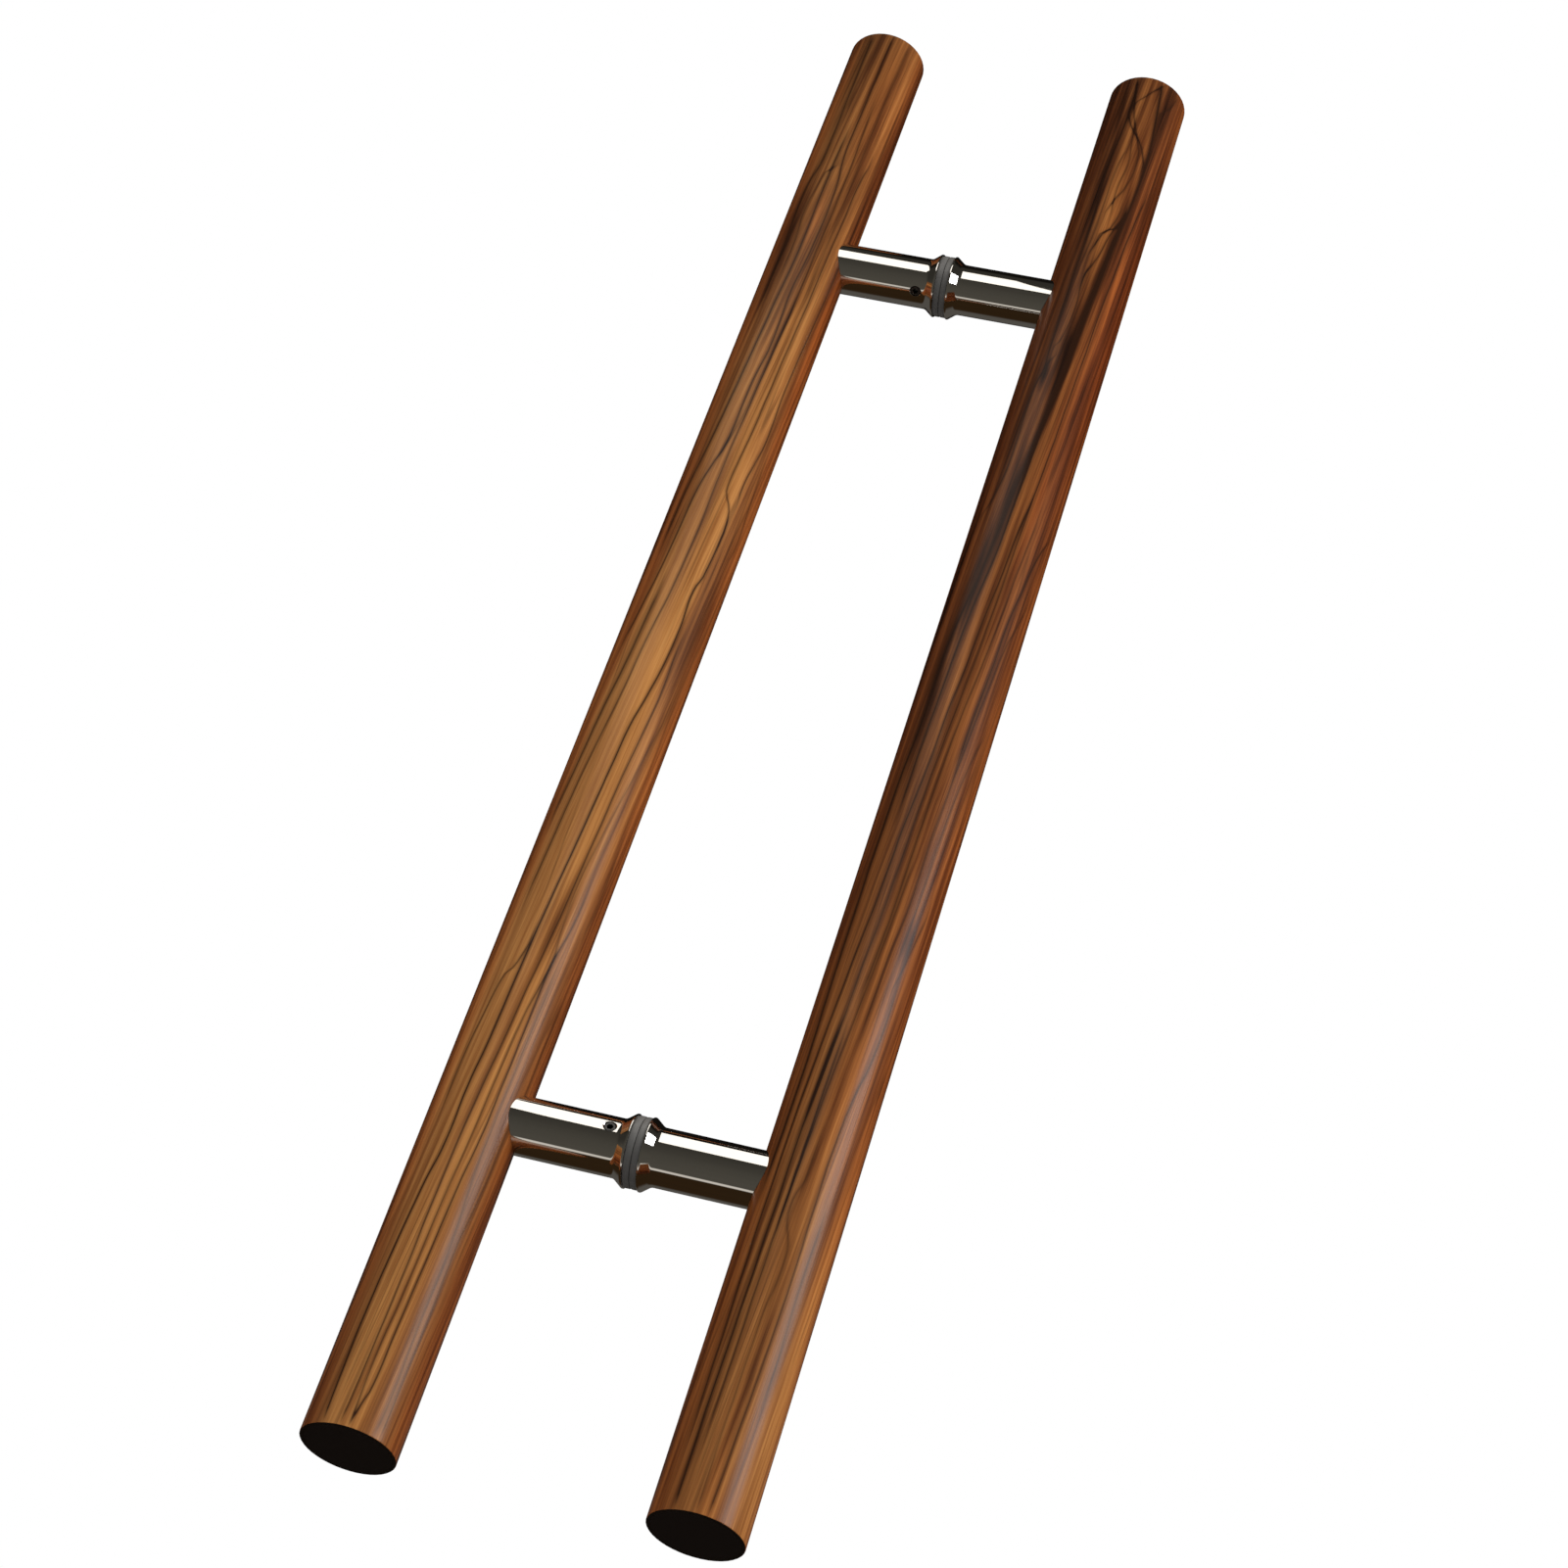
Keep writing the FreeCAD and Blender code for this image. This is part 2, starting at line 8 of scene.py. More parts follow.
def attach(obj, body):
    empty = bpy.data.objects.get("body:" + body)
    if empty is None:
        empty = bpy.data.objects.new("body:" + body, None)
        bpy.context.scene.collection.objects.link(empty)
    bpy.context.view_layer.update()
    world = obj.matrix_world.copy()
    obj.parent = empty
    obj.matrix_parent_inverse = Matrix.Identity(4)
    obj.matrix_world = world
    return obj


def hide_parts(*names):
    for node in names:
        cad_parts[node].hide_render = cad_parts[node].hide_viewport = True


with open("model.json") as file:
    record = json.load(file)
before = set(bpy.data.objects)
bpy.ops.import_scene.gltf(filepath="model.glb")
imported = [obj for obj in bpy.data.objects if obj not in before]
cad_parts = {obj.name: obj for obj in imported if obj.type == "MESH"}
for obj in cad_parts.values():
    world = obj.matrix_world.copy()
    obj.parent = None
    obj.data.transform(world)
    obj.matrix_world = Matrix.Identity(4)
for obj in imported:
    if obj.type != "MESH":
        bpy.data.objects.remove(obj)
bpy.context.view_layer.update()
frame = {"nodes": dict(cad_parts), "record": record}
nodes = frame["nodes"]

# Sizes in metres, apart from BAR_LENGTH_MM and the angles. GRUB_ANGLES are in degrees.

BAR_AXIS = 0.067
BAR_LENGTH_MM = 800.0
BAR_END_FACE = 0.39985
POST_HEIGHT = 0.25
SADDLE_RADIUS = 0.01905
COLLAR_FACE = 0.003
COLLAR_RADIUS = 0.015
COLLAR_RIM = 0.0008
SHAFT_RADIUS = 0.012
CONE_BLEND = 0.003
CONE_ANGLE = math.radians(38.0)
TAPPED_RADIUS = 0.00405
DRILL_POINT = 0.00243
GASKET_RADIUS = 0.0145
GASKET_BORE = 0.0042
GASKET_BEVEL = 0.0006
GRUB_FROM_COLLAR = 0.009
GRUB_ANGLES = {"upper": 157.0, "lower": 80.0}

# Fineness of the turned pieces
SEGMENTS = 192
BLEND_STEPS = 8
SHARP_EDGE = math.radians(32.0)


# Node helpers

class Tree:
    """Adds nodes to a material and links values, numbers or vectors to their inputs."""

    def __init__(self, name):
        self.material = bpy.data.materials.new(name)
        self.material.use_nodes = True
        self.nodes = self.material.node_tree.nodes
        self.links = self.material.node_tree.links
        self.nodes.clear()
        self.output = self.nodes.new("ShaderNodeOutputMaterial")

    def feed(self, socket, value):
        if isinstance(value, bpy.types.NodeSocket):
            self.links.new(value, socket)
        elif value is not None:
            socket.default_value = value

    def add(self, kind, inputs=(), **settings):
        node = self.nodes.new(kind)
        for key, value in settings.items():
            setattr(node, key, value)
        pairs = inputs.items() if isinstance(inputs, dict) else enumerate(inputs)
        for key, value in pairs:
            self.feed(node.inputs[key], value)
        return node

    def math(self, operation, *values, clamp=False):
        return self.add("ShaderNodeMath", values, operation=operation, use_clamp=clamp).outputs[0]

    def vector(self, operation, *values):
        node = self.add("ShaderNodeVectorMath", values, operation=operation)
        scalar = operation in ("DOT_PRODUCT", "LENGTH")
        return node.outputs["Value" if scalar else "Vector"]

    def combine(self, x, y, z):
        return self.add("ShaderNodeCombineXYZ", (x, y, z)).outputs[0]

    def separate(self, value):
        return self.add("ShaderNodeSeparateXYZ", (value,)).outputs

    def position(self):
        return self.add("ShaderNodeTexCoord").outputs["Object"]

    def noise(self, vector, scale, detail):
        inputs = {"Vector": vector, "Scale": scale, "Detail": detail, "Roughness": 0.5, "Distortion": 0.0}
        return self.add("ShaderNodeTexNoise", inputs).outputs["Fac"]

    def stretched_noise(self, vector, across, lengthwise, detail):
        """Noise with its own fineness across the bar and along it."""
        return self.noise(self.vector("MULTIPLY", vector, (across, across, lengthwise)), 1.0, detail)

    def smooth(self, value, low, high, start=0.0, end=1.0):
        inputs = {"Value": value, "From Min": low, "From Max": high, "To Min": start, "To Max": end}
        return self.add("ShaderNodeMapRange", inputs, interpolation_type="SMOOTHSTEP").outputs[0]

    def mix(self, factor, a, b, blend="MIX"):
        """A mix of two colours. The Mix node's colour sockets are inputs 6 and 7 and output 2."""
        node = self.add("ShaderNodeMix", data_type="RGBA", blend_type=blend)
        self.feed(node.inputs[0], factor)
        self.feed(node.inputs[6], a)
        self.feed(node.inputs[7], b)
        return node.outputs[2]

    def ramp(self, factor, stops):
        node = self.add("ShaderNodeValToRGB", (factor,))
        elements = node.color_ramp.elements
        while len(elements) < len(stops):
            elements.new(0.5)
        for element, (place, colour) in zip(elements, stops):
            element.position = place
            element.color = colour
        return node.outputs["Color"]

    def principled(self, inputs):
        """The material, with a Principled shader that has these inputs."""
        return self.surface(self.add("ShaderNodeBsdfPrincipled", inputs).outputs[0])

    def surface(self, shader):
        self.links.new(shader, self.output.inputs["Surface"])
        return self.material


def rgb(red, green, blue):
    """A display colour from 0 to 255, as linear light."""
    def linear(value):
        value /= 255
        return value / 12.92 if value <= 0.04045 else ((value + 0.055) / 1.055) ** 2.4
    return linear(red), linear(green), linear(blue), 1.0


def grey(tone):
    """A neutral colour of linear light."""
    return tone, tone, tone, 1.0


# Plain materials

def polished_steel():
    tree = Tree("polished_steel")
    fine = tree.noise(tree.position(), 900.0, 3.0)
    colour = tree.mix(fine, (0.84, 0.83, 0.81, 1.0), (0.90, 0.89, 0.87, 1.0))
    roughness = tree.smooth(fine, 0.2, 0.8, 0.03, 0.06)
    return tree.principled({"Base Color": colour, "Metallic": 1.0, "Roughness": roughness})


def grey_rubber():
    """Rubber with painted shade: each gasket is painted darker towards its lower edge."""
    tree = Tree("grey_rubber")
    position = tree.position()
    fine = tree.noise(position, 600.0, 3.0)
    colour = tree.mix(fine, rgb(104, 102, 99), rgb(120, 118, 115))
    height = tree.separate(position)[2]
    height = tree.math("MULTIPLY_ADD", tree.math("SIGN", height), -POST_HEIGHT, height)
    # Painted shade: darkest at the lower edge of each gasket, none a little above its axis.
    shade_top, darkest = 0.009, 0.62
    shade = tree.smooth(height, -GASKET_RADIUS, shade_top, darkest, 0.0)
    return tree.principled({"Base Color": tree.mix(shade, colour, rgb(40, 40, 40)), "Roughness": 0.4})


def black_plastic():
    tree = Tree("black_plastic")
    fine = tree.noise(tree.position(), 1500.0, 3.0)
    colour = tree.mix(fine, rgb(22, 13, 8), rgb(32, 19, 12))
    return tree.principled({"Base Color": colour, "Roughness": 0.6, "Specular IOR Level": 0.2})


def plain_steel(name, tone):
    tree = Tree(name)
    fine = tree.noise(tree.position(), 700.0, 4.0)
    colour = tree.mix(fine, grey(tone * 0.85), grey(tone * 1.1))
    roughness = tree.smooth(fine, 0.2, 0.8, 0.22, 0.38)
    return tree.principled({"Base Color": colour, "Metallic": 1.0, "Roughness": roughness})


# Wood

WOOD_TONES = [(0.0, rgb(26, 12, 7)), (0.25, rgb(92, 51, 23)), (0.5, rgb(142, 89, 43)),
              (0.75, rgb(184, 126, 67)), (1.0, rgb(214, 162, 98))]
RED_TINT = (1.25, 0.72, 0.38, 1.0)
LINE_COLOUR = (0.024, 0.008, 0.003, 1.0)
LINE_STRENGTH = 1.15
NO_LINE = (0.0, 6.0, [(-400, 0), (400, 0)])

# How far the soft end of a line reaches past its last point, and back from it, in millimetres
FADE_PAST = 14
FADE_BACK = 6


def along(place):
    """Place on the bar in millimetres from its middle, as a share of its length."""
    return (place + BAR_LENGTH_MM / 2) / BAR_LENGTH_MM


def around(angle):
    """Angle in degrees from +X through the front of the bar, as a share of half a turn."""
    return angle / 180.0


def draw(curve, points, handle="AUTO"):
    """Puts points on a curve. A point that lies outside 0 to 1 moves to the nearest edge."""
    while len(curve.points) < len(points):
        curve.points.new(0.5, 0.5)
    for point, (x, y) in zip(curve.points, points):
        point.location = (min(max(x, 0.0), 1.0), min(max(y, 0.0), 1.0))
        point.handle_type = handle


def tone_curve(tree, share, points, as_share):
    """A curve through given points. The place of each point is turned into a share of the bar by as_share."""
    node = tree.add("ShaderNodeFloatCurve", {"Value": share})
    draw(node.mapping.curves[0], [(as_share(place), value) for place, value in points])
    node.mapping.update()
    return node.outputs[0]


def three_curves(tree, share, curves, handle):
    """Three curves over the same share as one vector. They run on level beyond their ends."""
    node = tree.add("ShaderNodeRGBCurve", {"Color": share})
    node.mapping.extend = "HORIZONTAL"
    for curve, points in zip(node.mapping.curves, curves):
        draw(curve, points, handle)
    node.mapping.update()
    return node.outputs["Color"]


def fade_window(strength, points):
    """Strength of a line over the length of the bar, with a soft end on each side."""
    low, high = points[0][0], points[-1][0]
    return [(along(low - FADE_PAST), 0.0), (along(low + FADE_BACK), strength),
            (along(high - FADE_BACK), strength), (along(high + FADE_PAST), 0.0)]


def grain_lines(tree, share, turn, lines):
    """Sum of thin dark lines, each drawn as a curve of angle over length, three at a time."""
    ones = (1.0, 1.0, 1.0)
    total = None
    for first in range(0, len(lines), 3):
        group = list(lines[first:first + 3])
        while len(group) < 3:
            group.append(NO_LINE)
        places = [[(along(z), around(t)) for z, t in points] for _, _, points in group]
        windows = [fade_window(strength, points) for strength, _, points in group]
        placed = three_curves(tree, share, places, "AUTO")
        weight = three_curves(tree, share, windows, "VECTOR")
        away = tree.vector("ABSOLUTE", tree.vector("SUBTRACT", placed, turn))
        away = tree.vector("MULTIPLY", away, tuple(1.0 / around(width) for _, width, _ in group))
        near = tree.vector("SUBTRACT", ones, tree.vector("MINIMUM", away, ones))
        near = tree.vector("MULTIPLY", near, tree.vector("MULTIPLY", near, near))
        value = tree.vector("DOT_PRODUCT", near, weight)
        total = value if total is None else tree.math("ADD", total, value)
    return tree.math("MULTIPLY", total, LINE_STRENGTH, clamp=True)


def veins(tree, grain):
    """Fine dark contour lines, in patches."""
    rings = tree.stretched_noise(grain, 120.0, 2.6, 1.0)
    rings = tree.math("PINGPONG", tree.math("MULTIPLY", rings, 9.0), 0.5)
    patches = tree.stretched_noise(grain, 70.0, 9.0, 1.0)
    return tree.math("MULTIPLY", tree.smooth(rings, 0.02, 0.16, 1.0, 0.0),
                     tree.smooth(patches, 0.44, 0.64, 0.0, 0.42))


def spots(tree, place, marks):
    """Sum of soft oval patches: (amount, angle, place along, half width, half length)."""
    total = None
    for amount, t, z, wide, tall in marks:
        offset = tree.vector("SUBTRACT", place, (t, z, 0.0))
        offset = tree.vector("MULTIPLY", offset, (1.0 / wide, 1.0 / tall, 0.0))
        value = tree.smooth(tree.vector("LENGTH", offset), 0.0, 1.0, amount, 0.0)
        total = value if total is None else tree.math("ADD", total, value)
    return total


def wood(name, centre, figure):
    """Coated wood grain round a bar whose axis is at x = centre. The figure is drawn on the bar's front and
    repeats upside down on its back."""
    tree = Tree(name)
    x, y, z = tree.separate(tree.position())
    offset = tree.math("SUBTRACT", x, centre)
    front = tree.math("LESS_THAN", y, 0.0)
    side = tree.math("MULTIPLY_ADD", front, 2.0, -1.0)
    turn = tree.math("ABSOLUTE", tree.math("ARCTAN2", y, offset))
    degrees = tree.math("MULTIPLY", turn, 180.0 / math.pi)
    millimetres = tree.math("MULTIPLY", tree.math("MULTIPLY", z, side), 1000.0)
    local = tree.combine(offset, y, z)

    wander = tree.stretched_noise(local, 90.0, 26.0, 3.0)
    degrees = tree.math("MULTIPLY_ADD", tree.math("SUBTRACT", wander, 0.5), figure["wander"], degrees)
    share = tree.math("MULTIPLY_ADD", millimetres, 1.0 / BAR_LENGTH_MM, 0.5)
    turn_share = tree.math("DIVIDE", degrees, 180.0)
    place = tree.combine(degrees, millimetres, 0.0)

    drift = tree.math("MULTIPLY", z, figure["drift"])
    turned = tree.add("ShaderNodeVectorRotate", {"Vector": local, "Angle": drift}, rotation_type="Z_AXIS")
    grain = turned.outputs[0]
    bands = tree.stretched_noise(grain, 150.0, 4.0, 2.0)
    streaks = tree.stretched_noise(grain, 520.0, 9.0, 3.0)
    fibres = tree.stretched_noise(grain, 2600.0, 40.0, 3.0)

    # The tone round the bar is partly painted shade, on top of the wood's own tone.
    level = tree.math("ADD", tone_curve(tree, share, figure["tone_along"], along),
                      tone_curve(tree, turn_share, figure["tone_and_shade_around"], around))
    level = tree.math("SUBTRACT", level, 0.5)
    level = tree.math("ADD", level, spots(tree, place, figure["tone_spots"]))
    for field, amount in ((bands, 0.55), (streaks, 0.65), (fibres, 0.30)):
        level = tree.math("MULTIPLY_ADD", tree.math("SUBTRACT", field, 0.5), amount, level)
    colour = tree.ramp(level, WOOD_TONES)
    red = tree.math("ADD", tone_curve(tree, turn_share, figure["red_around"], around),
                    spots(tree, place, figure["red_spots"]), clamp=True)
    colour = tree.mix(red, colour, tree.mix(1.0, colour, RED_TINT, "MULTIPLY"))

    drawn = grain_lines(tree, share, tree.combine(turn_share, turn_share, turn_share), figure["lines"])
    lines = tree.math("MAXIMUM", drawn, veins(tree, grain))
    clear_of_seams = tree.smooth(tree.math("ABSOLUTE", tree.math("SINE", turn)), 0.02, 0.16)
    colour = tree.mix(tree.math("MULTIPLY", clear_of_seams, lines), colour, LINE_COLOUR)

    end_face = tree.math("GREATER_THAN", tree.math("ABSOLUTE", z), BAR_END_FACE)
    colour = tree.mix(end_face, colour, rgb(18, 10, 7))
    roughness = tree.smooth(streaks, 0.2, 0.8, 0.42, 0.55)
    return tree.principled({"Base Color": colour, "Roughness": roughness, "Specular IOR Level": 0.05,
                            "Coat Weight": 1.0, "Coat Roughness": 0.26, "Coat IOR": 1.2})


# The grain of each bar. "wander" is how far the lines waver from side to side, in degrees, and "drift" how
# the grain turns along the bar, in radians a metre. A dark line is (strength, half width in degrees, [(mm
# along, degrees round), ...]), and a soft patch (amount, degrees round, mm along, half width in degrees,
# half length in mm). The other lists are curves: the tone along the bar; the tone round it, which holds
# painted shade as well as the wood's own tone; and the redness round it.

LEFT_FIGURE = {
    "wander": 3.0,
    "drift": -2.4,
    "tone_along": [(-400, 0.52), (-200, 0.55), (-50, 0.60), (60, 0.58), (180, 0.50), (300, 0.44),
                   (400, 0.42)],
    "tone_and_shade_around": [(0, 0.26), (25, 0.33), (50, 0.44), (75, 0.50), (100, 0.60), (120, 0.46), (140, 0.34),
                    (165, 0.30), (180, 0.34)],
    "red_around": [(0, 0.6), (20, 0.42), (35, 0.08), (60, 0.0), (115, 0.0), (135, 0.4), (160, 0.55),
                   (180, 0.6)],
    "tone_spots": [(0.08, 82, 0, 26, 110), (-0.22, 30, 0, 34, 90), (-0.22, 120, 240, 22, 80),
                   (0.12, 130, -260, 30, 150), (-0.16, 70, -165, 14, 30), (-0.12, 50, -10, 14, 34),
                   (0.18, 91, 260, 10, 28), (0.14, 30, 370, 34, 120), (0.14, 45, 165, 14, 60),
                   (-0.12, 90, 60, 40, 90), (-0.24, 92, 380, 30, 90), (-0.14, 86, 240, 28, 90),
                   (0.20, 140, 350, 22, 110), (0.12, 15, 190, 14, 70), (0.10, 142, 150, 20, 120)],
    "red_spots": [(0.3, 20, 200, 22, 120), (0.35, 91, 260, 14, 34), (0.3, 125, 40, 20, 120),
                  (0.2, 60, 350, 60, 90)],
    "lines": [
        (0.95, 7, [(-400, 114), (-350, 114), (-300, 106), (-272, 98), (-250, 98), (-225, 94), (-190, 91),
                   (-150, 86), (-110, 80), (-80, 76), (-62, 74), (-40, 66), (-20, 60), (0, 58), (20, 60),
                   (32, 54), (60, 49)]),
        (0.75, 6, [(-255, 121), (-235, 120), (-215, 115), (-195, 108), (-190, 99), (-178, 92)]),
        (0.75, 7, [(-150, 119), (-120, 115), (-80, 108), (-40, 99), (0, 92), (20, 87), (50, 84), (90, 83),
                   (150, 78), (200, 73), (250, 71), (285, 69), (340, 70)]),
        (0.80, 12, [(-110, 130), (-90, 126), (-70, 122), (-50, 117), (-30, 111), (0, 106), (15, 103)]),
        (0.85, 8, [(-10, 128), (10, 120), (40, 112), (75, 107), (95, 98), (108, 91), (150, 88), (175, 83),
                   (210, 84), (240, 79), (285, 78), (305, 83), (350, 82), (400, 80)]),
        (0.85, 12, [(50, 128), (75, 125), (100, 118), (130, 111), (170, 105), (200, 101), (235, 96),
                    (290, 95), (320, 92)]),
        (0.80, 6, [(-400, 93), (-380, 90), (-350, 88), (-300, 86), (-270, 84), (-245, 81), (-220, 77),
                   (-200, 74), (-170, 69), (-120, 63), (-90, 59), (-60, 54), (-35, 50), (-12, 51)]),
        (0.70, 6, [(-400, 82), (-370, 82), (-340, 79), (-300, 76), (-270, 72), (-240, 69), (-215, 66),
                   (-195, 60), (-178, 55), (-160, 48), (-145, 46)]),
        (0.85, 6, [(-400, 83), (-390, 78), (-380, 73), (-350, 71), (-320, 68), (-290, 65), (-270, 61),
                   (-245, 59), (-190, 57)]),
        (0.60, 9, [(-400, 43), (-370, 42), (-340, 40), (-315, 40), (-300, 36), (-285, 33), (-260, 31),
                   (-240, 23), (-215, 21), (-195, 18)]),
        (0.55, 9, [(-400, 52), (-385, 49), (-350, 49), (-315, 48), (-280, 52), (-230, 50), (-190, 48)]),
        (0.80, 7, [(60, 49), (68, 51), (76, 58), (84, 67), (100, 66), (120, 63), (170, 59), (230, 53),
                   (270, 50), (296, 47), (308, 42)]),
        (0.80, 7, [(78, 46), (88, 47), (105, 42), (120, 38), (150, 39), (180, 36), (210, 31), (240, 27),
                   (290, 22)]),
        (0.50, 9, [(210, 60), (260, 59), (300, 58), (350, 56), (400, 51)]),
        (0.60, 9, [(225, 108), (250, 108), (265, 111), (282, 107), (296, 100), (297, 88)]),
        (0.80, 14, [(205, 123), (250, 124), (280, 126), (305, 114), (350, 113), (400, 112)]),
        (0.50, 7, [(-180, 56), (-150, 62), (-120, 56), (-90, 46), (-60, 36), (-45, 28)]),
        (0.60, 8, [(50, 24), (62, 20), (80, 23), (105, 25)]),
        (0.45, 7, [(104, 92), (125, 84), (160, 79), (200, 74)]),
        (0.35, 6, [(60, 76), (110, 72), (160, 66), (230, 62)]),
        (0.60, 8, [(-160, 26), (-140, 22), (-120, 22)]),
    ],
}

RIGHT_FIGURE = {
    "wander": 4.0,
    "drift": -2.2,
    "tone_along": [(-400, 0.56), (-250, 0.52), (-100, 0.44), (50, 0.40), (200, 0.36), (400, 0.36)],
    "tone_and_shade_around": [(0, 0.34), (25, 0.36), (50, 0.37), (80, 0.42), (105, 0.47), (125, 0.37), (145, 0.33),
                    (180, 0.28)],
    "red_around": [(0, 0.6), (20, 0.5), (40, 0.3), (70, 0.2), (110, 0.15), (135, 0.35), (180, 0.7)],
    "tone_spots": [(0.20, 20, -330, 30, 130), (-0.24, 118, -10, 12, 55), (-0.27, 108, 55, 11, 52),
                   (-0.30, 99, 105, 10, 52), (-0.32, 84, 195, 13, 55), (-0.2, 113, 320, 13, 70),
                   (-0.15, 108, 240, 8, 50), (0.24, 86, 300, 19, 60), (0.14, 92, 0, 7, 80),
                   (0.16, 46, 265, 6, 60), (0.12, 86, 110, 9, 70), (-0.2, 50, -135, 12, 18),
                   (-0.20, 75, -320, 11, 130), (-0.12, 61, 50, 10, 60), (-0.09, 42, 161, 15, 80),
                   (-0.12, 46, 380, 18, 80), (0.22, 8, 385, 16, 70), (-0.08, 62, -110, 16, 60),
                   (0.12, 130, 100, 14, 90), (0.12, 62, 330, 9, 80), (-0.10, 118, -54, 9, 40),
                   (-0.10, 105, 150, 8, 60), (-0.12, 104, -390, 20, 80), (-0.10, 72, -64, 12, 50),
                   (0.14, 62, 340, 8, 80), (-0.26, 104, 188, 9, 16), (-0.18, 118, 375, 8, 32)],
    "red_spots": [(0.4, 40, 220, 40, 190), (0.3, 60, 120, 14, 120), (-0.4, 60, -320, 30, 120),
                  (-0.45, 20, -370, 45, 170), (0.3, 12, 230, 24, 140), (-0.25, 100, -300, 30, 200)],
    "lines": [
        (0.85, 7, [(-360, 123), (-240, 121), (-200, 117), (-150, 109), (-105, 102), (-80, 99), (-50, 94),
                   (-20, 90), (0, 87), (30, 83), (60, 78), (90, 73), (110, 68), (130, 65), (180, 61),
                   (230, 56), (270, 51), (300, 45), (320, 38)]),
        (0.90, 9, [(-400, 114), (-370, 113), (-330, 111), (-270, 107), (-240, 106), (-190, 101)]),
        (0.75, 7, [(-365, 103), (-330, 101), (-300, 99), (-270, 97), (-230, 95), (-190, 92)]),
        (0.75, 8, [(-220, 103), (-180, 98), (-150, 95), (-100, 89), (-50, 86), (-20, 81), (10, 77),
                   (50, 73), (100, 68)]),
        (0.70, 8, [(-165, 86), (-130, 81), (-90, 78), (-60, 77), (-20, 72), (10, 66), (50, 60), (100, 52)]),
        (0.65, 7, [(-180, 71), (-150, 69), (-120, 63), (-90, 61), (-60, 58), (-30, 53), (0, 48), (20, 44),
                   (42, 32), (55, 24)]),
        (0.85, 8, [(-40, 58), (10, 52), (40, 49), (60, 42), (75, 37), (88, 29), (96, 20)]),
        (0.75, 7, [(-400, 74), (-370, 70), (-340, 67), (-305, 64), (-240, 62), (-215, 57), (-195, 49),
                   (-160, 45)]),
        (0.60, 8, [(-145, 56), (-110, 51), (-80, 49), (-60, 46), (-40, 40), (-22, 30)]),
        (0.95, 16, [(-255, 134), (-220, 131), (-130, 131), (-60, 128), (-30, 122), (20, 119), (60, 106),
                    (90, 99), (130, 92), (165, 86), (200, 80), (240, 76), (280, 69), (305, 60), (345, 56),
                    (372, 62), (400, 70)]),
        (0.90, 9, [(-70, 112), (-40, 110), (0, 106), (40, 101), (80, 92), (120, 88), (160, 84), (190, 78),
                   (240, 72), (290, 65)]),
        (0.80, 8, [(100, 134), (115, 120), (130, 115), (175, 114), (190, 108), (200, 98)]),
        (0.85, 9, [(190, 108), (240, 110), (290, 107), (330, 110), (370, 104), (400, 106)]),
        (0.75, 6, [(255, 95), (268, 84), (285, 76), (300, 64)]),
        (0.75, 6, [(268, 98), (285, 86), (290, 78), (302, 72)]),
        (0.70, 6, [(300, 92), (310, 84), (320, 75), (338, 70), (352, 78), (372, 96), (400, 108)]),
        (0.80, 7, [(380, 100), (386, 86), (392, 76), (400, 60)]),
        (0.60, 8, [(-345, 51), (-310, 51), (-270, 48)]),
        (0.55, 7, [(-400, 88), (-360, 86), (-320, 84), (-290, 78), (-270, 90), (-255, 83), (-240, 82)]),
        (0.70, 6, [(-160, 52), (-147, 45), (-135, 40), (-120, 33)]),
        (0.60, 7, [(-270, 97), (-210, 90), (-150, 80), (-100, 74)]),
        (0.80, 7, [(283, 92), (287, 84), (290, 72), (297, 66)]),
        (0.80, 8, [(340, 60), (346, 66), (352, 74), (357, 84), (364, 96), (372, 104)]),
        (0.70, 8, [(378, 58), (384, 48), (392, 40), (400, 36)]),
        (0.65, 5, [(262, 104), (280, 100), (300, 98), (330, 96), (345, 90)]),
        (0.65, 5, [(300, 84), (318, 86), (336, 82), (350, 86), (368, 90)]),
        (0.70, 6, [(206, 104), (215, 96), (232, 92), (250, 94), (262, 90)]),
    ],
}


# Materials on the CAD pieces

materials = {
    "black_plastic": black_plastic(),
    "polished_steel": polished_steel(),
    "grey_rubber": grey_rubber(),
    "zinc_steel": plain_steel("zinc_steel", 0.55),
    "black_steel": plain_steel("black_steel", 0.08),
}

bar_wood = {
    "left_bar": wood("wood_left", -BAR_AXIS, LEFT_FIGURE),
    "right_bar": wood("wood_right", BAR_AXIS, RIGHT_FIGURE),
}

for part in frame["record"]["subparts"]:
    mesh = nodes[part["node"]].data
    mesh.materials.clear()
    mesh.materials.append(bar_wood.get(part["node"]) or materials[part["material_slot"]])


# Turned pieces, made round the local X axis with the face that collar and gasket share at 0

def new_object(name, mesh, material):
    """An object in the scene from a bmesh, which is used up."""
    data = bpy.data.meshes.new(name)
    mesh.to_mesh(data)
    mesh.free()
    data.materials.append(material)
    thing = bpy.data.objects.new(name, data)
    bpy.context.scene.collection.objects.link(thing)
    return thing


def saddle_station(y):
    """Where the saddle of a post lies on its axis, at a place y across the bar."""
    return BAR_AXIS - COLLAR_FACE - math.sqrt(SADDLE_RADIUS ** 2 - y ** 2)


